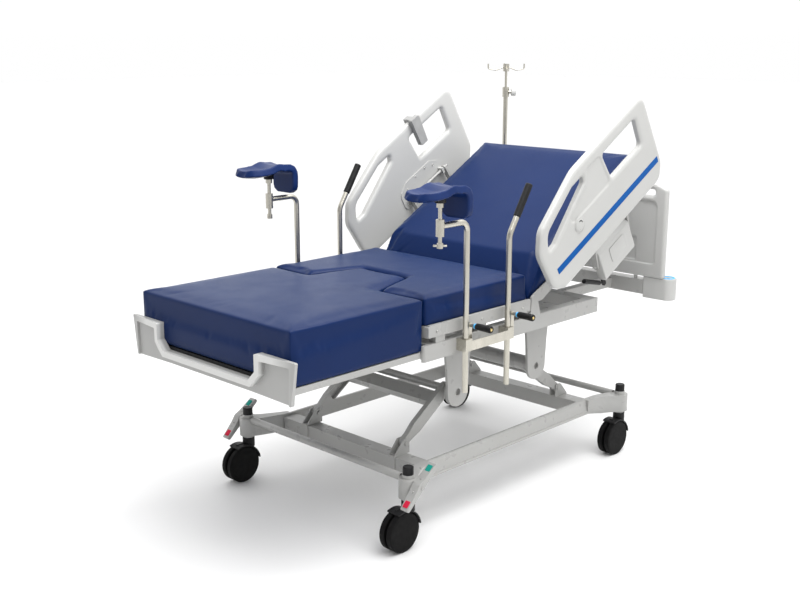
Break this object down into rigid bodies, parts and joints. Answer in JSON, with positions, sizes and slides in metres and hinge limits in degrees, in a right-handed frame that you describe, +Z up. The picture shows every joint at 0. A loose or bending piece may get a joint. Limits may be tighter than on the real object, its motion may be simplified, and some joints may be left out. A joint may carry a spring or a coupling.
{
  "type": "birthing bed",
  "caption": "Height-adjustable birthing bed on castors with raised backrest, swing-down side rails, leg troughs, hand grips, sliding foot section and infusion pole.",
  "frame": {"origin": "on the floor under the middle of the bed", "axes": "+X towards the head end, +Z up, patient left side is -Y"},
  "size_m": [2.259, 1.108, 1.666],
  "materials": {
    "frame_paint": "satin",
    "stainless": "satin",
    "white_plastic": "satin",
    "black_plastic": "satin",
    "pad_blue": "satin",
    "trough_blue": "satin",
    "wheel_black": "matte"
  },
  "bodies": {
    "chassis": {"side_members": "frame_paint", "cross_members": "frame_paint", "castor_posts": "frame_paint", "post_caps": "black_plastic", "end_tubes": "frame_paint", "arm_brackets": "frame_paint"},
    "foot_arms": {"foot_lift_arms": "frame_paint"},
    "head_arms": {"head_lift_arms": "frame_paint"},
    "deck": {"deck_beams": "frame_paint", "deck_crossbars": "frame_paint", "hanging_plates": "frame_paint", "seat_rails": "frame_paint", "seat_pan": "frame_paint", "seat_mattress": "pad_blue", "post_brackets": "stainless", "head_extension": "frame_paint", "corner_bumpers": "white_plastic", "pole_tube": "stainless"},
    "backrest": {"back_frame": "frame_paint", "back_mattress": "pad_blue", "rail_housings": "white_plastic"},
    "release": {"release_lever": "black_plastic"},
    "foot_section": {"foot_frame": "frame_paint", "foot_mattress": "pad_blue", "foot_tray": "black_plastic", "foot_panel": "white_plastic"},
    "headboard": {"headboard": "white_plastic"},
    "pole_rod": {"pole_rod": "stainless"},
    "pole_knob": {"pole_knob": "white_plastic"},
    "swivel_foot_near": {"castor_housing_foot_near": "black_plastic"},
    "wheels_foot_near": {"castor_wheels_foot_near": "wheel_black"},
    "swivel_foot_far": {"castor_housing_foot_far": "black_plastic"},
    "wheels_foot_far": {"castor_wheels_foot_far": "wheel_black"},
    "swivel_head_near": {"castor_housing_head_near": "black_plastic"},
    "wheels_head_near": {"castor_wheels_head_near": "wheel_black"},
    "swivel_head_far": {"castor_housing_head_far": "black_plastic"},
    "wheels_head_far": {"castor_wheels_head_far": "wheel_black"},
    "pedal_near": {"brake_pedal_near": "frame_paint"},
    "pedal_far": {"brake_pedal_far": "frame_paint"},
    "leg_post_near": {"leg_post_near": "stainless"},
    "trough_near": {"trough_stem_near": "stainless", "leg_trough_near": "trough_blue"},
    "grip_near": {"grip_post_near": "stainless", "hand_grip_near": "black_plastic"},
    "leg_lever_near": {"clamp_lever_leg_near": "stainless"},
    "grip_lever_near": {"clamp_lever_grip_near": "stainless"},
    "swing_near": {"swing_arms_near": "frame_paint"},
    "rail_near": {"side_rail_near": "white_plastic", "hinge_plate_near": "frame_paint"},
    "leg_post_far": {"leg_post_far": "stainless"},
    "trough_far": {"trough_stem_far": "stainless", "leg_trough_far": "trough_blue"},
    "grip_far": {"grip_post_far": "stainless", "hand_grip_far": "black_plastic"},
    "leg_lever_far": {"clamp_lever_leg_far": "stainless"},
    "grip_lever_far": {"clamp_lever_grip_far": "stainless"},
    "swing_far": {"swing_arms_far": "frame_paint"},
    "rail_far": {"side_rail_far": "white_plastic", "hinge_plate_far": "frame_paint", "pendant": "white_plastic"}
  },
  "joints": [
    {"name": "castor_swivel_foot_near", "type": "hinge", "parent": "chassis", "child": "swivel_foot_near", "pos_m": [-0.59721, -0.461, 0.18], "axis": [0, 0, 1], "continuous": true},
    {"name": "wheel_spin_foot_near", "type": "hinge", "parent": "swivel_foot_near", "child": "wheels_foot_near", "pos_m": [-0.64221, -0.461, 0.075], "axis": [0, 1, 0], "continuous": true},
    {"name": "castor_swivel_foot_far", "type": "hinge", "parent": "chassis", "child": "swivel_foot_far", "pos_m": [-0.59721, 0.461, 0.18], "axis": [0, 0, 1], "continuous": true},
    {"name": "wheel_spin_foot_far", "type": "hinge", "parent": "swivel_foot_far", "child": "wheels_foot_far", "pos_m": [-0.64221, 0.461, 0.075], "axis": [0, 1, 0], "continuous": true},
    {"name": "castor_swivel_head_near", "type": "hinge", "parent": "chassis", "child": "swivel_head_near", "pos_m": [0.74479, -0.461, 0.18], "axis": [0, 0, 1], "continuous": true},
    {"name": "wheel_spin_head_near", "type": "hinge", "parent": "swivel_head_near", "child": "wheels_head_near", "pos_m": [0.69979, -0.461, 0.075], "axis": [0, 1, 0], "continuous": true},
    {"name": "castor_swivel_head_far", "type": "hinge", "parent": "chassis", "child": "swivel_head_far", "pos_m": [0.74479, 0.461, 0.18], "axis": [0, 0, 1], "continuous": true},
    {"name": "wheel_spin_head_far", "type": "hinge", "parent": "swivel_head_far", "child": "wheels_head_far", "pos_m": [0.69979, 0.461, 0.075], "axis": [0, 1, 0], "continuous": true},
    {"name": "brake_pedal_near", "type": "hinge", "parent": "chassis", "child": "pedal_near", "pos_m": [-0.59721, -0.498, 0.245], "axis": [0, 1, 0], "range_deg": [0, 60]},
    {"name": "brake_pedal_far", "type": "hinge", "parent": "chassis", "child": "pedal_far", "pos_m": [-0.59721, 0.498, 0.245], "axis": [0, 1, 0], "range_deg": [0, 60]},
    {"name": "lift", "type": "slide", "parent": "chassis", "child": "deck", "axis": [0, 0, 1], "range_m": [-0.137, 0.08]},
    {"name": "foot_arm_pivot", "type": "hinge", "parent": "chassis", "child": "foot_arms", "pos_m": [-0.40621, 0, 0.291], "axis": [0, -1, 0], "range_deg": [-34, 20]},
    {"name": "head_arm_pivot", "type": "hinge", "parent": "chassis", "child": "head_arms", "pos_m": [0.55379, 0, 0.291], "axis": [0, 1, 0], "range_deg": [-34, 20]},
    {"name": "backrest", "type": "hinge", "parent": "deck", "child": "backrest", "pos_m": [0.13779, 0, 0.79], "axis": [0, -1, 0], "range_deg": [-29.7, 30]},
    {"name": "rail_swing_near", "type": "hinge", "parent": "backrest", "child": "swing_near", "pos_m": [0.53211, -0.457, 0.8711], "axis": [0.8686, 0, 0.4955], "range_deg": [0, 145]},
    {"name": "rail_level_near", "type": "hinge", "parent": "swing_near", "child": "rail_near", "pos_m": [0.41815, -0.493, 1.07089], "axis": [0.8686, 0, 0.4955], "range_deg": [-145, 0]},
    {"name": "leg_post_near", "type": "slide", "parent": "deck", "child": "leg_post_near", "axis": [0, 0, 1], "range_m": [-0.1, 0.15]},
    {"name": "trough_swivel_near", "type": "hinge", "parent": "leg_post_near", "child": "trough_near", "pos_m": [-0.44721, -0.468, 1.154], "axis": [0, 0, 1], "range_deg": [-45, 45]},
    {"name": "grip_swivel_near", "type": "hinge", "parent": "deck", "child": "grip_near", "pos_m": [-0.06321, -0.468, 0.722], "axis": [0, 0, 1], "range_deg": [-10, 60]},
    {"name": "leg_lever_near", "type": "hinge", "parent": "deck", "child": "leg_lever_near", "pos_m": [-0.26121, -0.44, 0.701], "axis": [0, 1, 0], "range_deg": [0, 45]},
    {"name": "grip_lever_near", "type": "hinge", "parent": "deck", "child": "grip_lever_near", "pos_m": [-0.01521, -0.44, 0.701], "axis": [0, 1, 0], "range_deg": [0, 45]},
    {"name": "rail_swing_far", "type": "hinge", "parent": "backrest", "child": "swing_far", "pos_m": [0.53211, 0.457, 0.8711], "axis": [-0.8686, 0, -0.4955], "range_deg": [0, 145]},
    {"name": "rail_level_far", "type": "hinge", "parent": "swing_far", "child": "rail_far", "pos_m": [0.41815, 0.493, 1.07089], "axis": [-0.8686, 0, -0.4955], "range_deg": [-145, 0]},
    {"name": "leg_post_far", "type": "slide", "parent": "deck", "child": "leg_post_far", "axis": [0, 0, 1], "range_m": [-0.1, 0.15]},
    {"name": "trough_swivel_far", "type": "hinge", "parent": "leg_post_far", "child": "trough_far", "pos_m": [-0.44721, 0.468, 1.154], "axis": [0, 0, 1], "range_deg": [-45, 45]},
    {"name": "grip_swivel_far", "type": "hinge", "parent": "deck", "child": "grip_far", "pos_m": [-0.06321, 0.468, 0.722], "axis": [0, 0, -1], "range_deg": [-10, 60]},
    {"name": "leg_lever_far", "type": "hinge", "parent": "deck", "child": "leg_lever_far", "pos_m": [-0.26121, 0.44, 0.701], "axis": [0, 1, 0], "range_deg": [0, 45]},
    {"name": "grip_lever_far", "type": "hinge", "parent": "deck", "child": "grip_lever_far", "pos_m": [-0.01521, 0.44, 0.701], "axis": [0, 1, 0], "range_deg": [0, 45]},
    {"name": "release_pull", "type": "hinge", "parent": "backrest", "child": "release", "pos_m": [0.58851, -0.452, 0.80047], "axis": [0, 1, 0], "range_deg": [0, 15], "stiffness_Nm_per_rad": 3, "springref_deg": -17.19},
    {"name": "foot_section", "type": "slide", "parent": "deck", "child": "foot_section", "axis": [-1, 0, 0], "range_m": [0, 0.26]},
    {"name": "headboard_lift", "type": "slide", "parent": "deck", "child": "headboard", "axis": [0, 0, 1], "range_m": [0, 0.25]},
    {"name": "pole_extend", "type": "slide", "parent": "deck", "child": "pole_rod", "axis": [0, 0, 1], "range_m": [-0.07, 0.25]},
    {"name": "pole_knob", "type": "hinge", "parent": "deck", "child": "pole_knob", "pos_m": [1.06379, 0.48, 1.53], "axis": [0.7071, -0.7071, 0], "range_deg": [-180, 180]}
  ],
  "couplings": [
    {"joint": "brake_pedal_far", "follows": "brake_pedal_near", "ratio": 1},
    {"joint": "foot_arm_pivot", "follows": "lift", "rad_per_m": 4.2918},
    {"joint": "head_arm_pivot", "follows": "lift", "rad_per_m": 4.2918},
    {"joint": "rail_level_near", "follows": "rail_swing_near", "ratio": -1},
    {"joint": "rail_level_far", "follows": "rail_swing_far", "ratio": -1}
  ]
}
